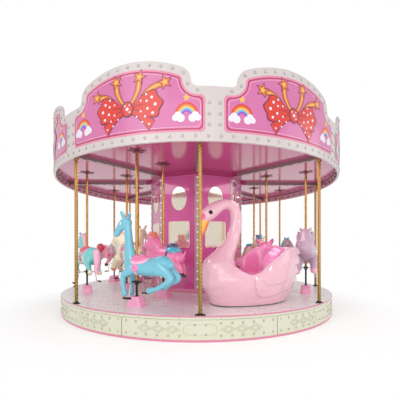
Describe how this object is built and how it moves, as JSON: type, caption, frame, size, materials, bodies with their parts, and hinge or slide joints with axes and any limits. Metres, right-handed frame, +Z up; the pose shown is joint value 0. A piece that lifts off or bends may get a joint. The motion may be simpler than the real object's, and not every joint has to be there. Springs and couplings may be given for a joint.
{
  "type": "carousel",
  "caption": "Small fairground carousel: jumping fibreglass animals and swan chariots on a turntable under an arched, bulb-edged crown.",
  "frame": {"origin": "on the ground at the turning axis, in the middle of the footprint", "axes": "+Z up, -Y towards the front, where the first post stands; the ride turns clockwise seen from above"},
  "size_m": [5.0914, 5.0914, 3.177],
  "materials": {
    "cream_fibreglass": "glossy cream fibreglass",
    "pink_gloss": "glossy pink fibreglass",
    "pale_pink": "glossy pale pink fibreglass",
    "magenta_gloss": "high-gloss magenta panel",
    "turquoise": "glossy turquoise fibreglass",
    "lilac": "glossy lilac fibreglass",
    "deck_plate": "raised-pattern steel plate",
    "brass": "polished, twisted finish",
    "white_trim": "glossy white panel",
    "black_steel": "satin black paint"
  },
  "bodies": {
    "base": {"skirt": "cream_fibreglass", "base_frame": "black_steel", "turntable_bearing": "black_steel"},
    "turntable": {"deck": "deck_plate", "column": "pink_gloss", "canopy_beams": "white_trim", "ceiling": "magenta_gloss", "roof": "pale_pink", "crown": "white_trim", "swan_front": "pale_pink", "swan_back": "pale_pink", "post_1": "brass", "post_2": "brass", "post_3": "brass", "post_4": "brass", "post_5": "brass", "post_6": "brass", "post_7": "brass", "post_8": "brass", "cover_outer_1": "pale_pink", "cover_inner_1": "pale_pink", "cover_outer_2": "pale_pink", "cover_inner_2": "pale_pink", "cover_outer_3": "pale_pink", "cover_inner_3": "pale_pink", "cover_outer_5": "pale_pink", "cover_inner_5": "pale_pink", "cover_outer_6": "pale_pink", "cover_inner_6": "pale_pink", "cover_outer_7": "pale_pink", "cover_inner_7": "pale_pink"},
    "rider_outer_1": {"pole_outer_1": "brass", "giraffe_outer_1": "turquoise"},
    "rider_inner_1": {"pole_inner_1": "brass", "pig_inner_1": "pink_gloss"},
    "rider_outer_2": {"pole_outer_2": "brass", "pony_outer_2": "turquoise"},
    "rider_inner_2": {"pole_inner_2": "brass", "hippo_inner_2": "lilac"},
    "rider_outer_3": {"pole_outer_3": "brass", "pony_outer_3": "turquoise"},
    "rider_inner_3": {"pole_inner_3": "brass", "giraffe_inner_3": "turquoise"},
    "rider_outer_5": {"pole_outer_5": "brass", "giraffe_outer_5": "turquoise"},
    "rider_inner_5": {"pole_inner_5": "brass", "pony_inner_5": "turquoise"},
    "rider_outer_6": {"pole_outer_6": "brass", "pony_outer_6": "turquoise"},
    "rider_inner_6": {"pole_inner_6": "brass", "pig_inner_6": "pink_gloss"},
    "rider_outer_7": {"pole_outer_7": "brass", "hippo_outer_7": "lilac"},
    "rider_inner_7": {"pole_inner_7": "brass", "pig_inner_7": "pink_gloss"}
  },
  "joints": [
    {"name": "turntable_spin", "type": "hinge", "parent": "base", "child": "turntable", "pos_m": [0, 0, 0.3], "axis": [0, 0, 1], "continuous": true},
    {"name": "rider_outer_1_lift", "type": "slide", "parent": "turntable", "child": "rider_outer_1", "axis": [0, 0, 1], "range_m": [-0.02, 0.14]},
    {"name": "rider_inner_1_lift", "type": "slide", "parent": "turntable", "child": "rider_inner_1", "axis": [0, 0, 1], "range_m": [-0.07, 0.09]},
    {"name": "rider_outer_2_lift", "type": "slide", "parent": "turntable", "child": "rider_outer_2", "axis": [0, 0, 1], "range_m": [-0.06, 0.1]},
    {"name": "rider_inner_2_lift", "type": "slide", "parent": "turntable", "child": "rider_inner_2", "axis": [0, 0, 1], "range_m": [-0.12, 0.04]},
    {"name": "rider_outer_3_lift", "type": "slide", "parent": "turntable", "child": "rider_outer_3", "axis": [0, 0, 1], "range_m": [-0.11, 0.05]},
    {"name": "rider_inner_3_lift", "type": "slide", "parent": "turntable", "child": "rider_inner_3", "axis": [0, 0, 1], "range_m": [-0.03, 0.13]},
    {"name": "rider_outer_5_lift", "type": "slide", "parent": "turntable", "child": "rider_outer_5", "axis": [0, 0, 1], "range_m": [-0.12, 0.04]},
    {"name": "rider_inner_5_lift", "type": "slide", "parent": "turntable", "child": "rider_inner_5", "axis": [0, 0, 1], "range_m": [-0.05, 0.11]},
    {"name": "rider_outer_6_lift", "type": "slide", "parent": "turntable", "child": "rider_outer_6", "axis": [0, 0, 1], "range_m": [-0.01, 0.15]},
    {"name": "rider_inner_6_lift", "type": "slide", "parent": "turntable", "child": "rider_inner_6", "axis": [0, 0, 1], "range_m": [-0.09, 0.07]},
    {"name": "rider_outer_7_lift", "type": "slide", "parent": "turntable", "child": "rider_outer_7", "axis": [0, 0, 1], "range_m": [-0.13, 0.03]},
    {"name": "rider_inner_7_lift", "type": "slide", "parent": "turntable", "child": "rider_inner_7", "axis": [0, 0, 1], "range_m": [-0.01, 0.15]}
  ]
}
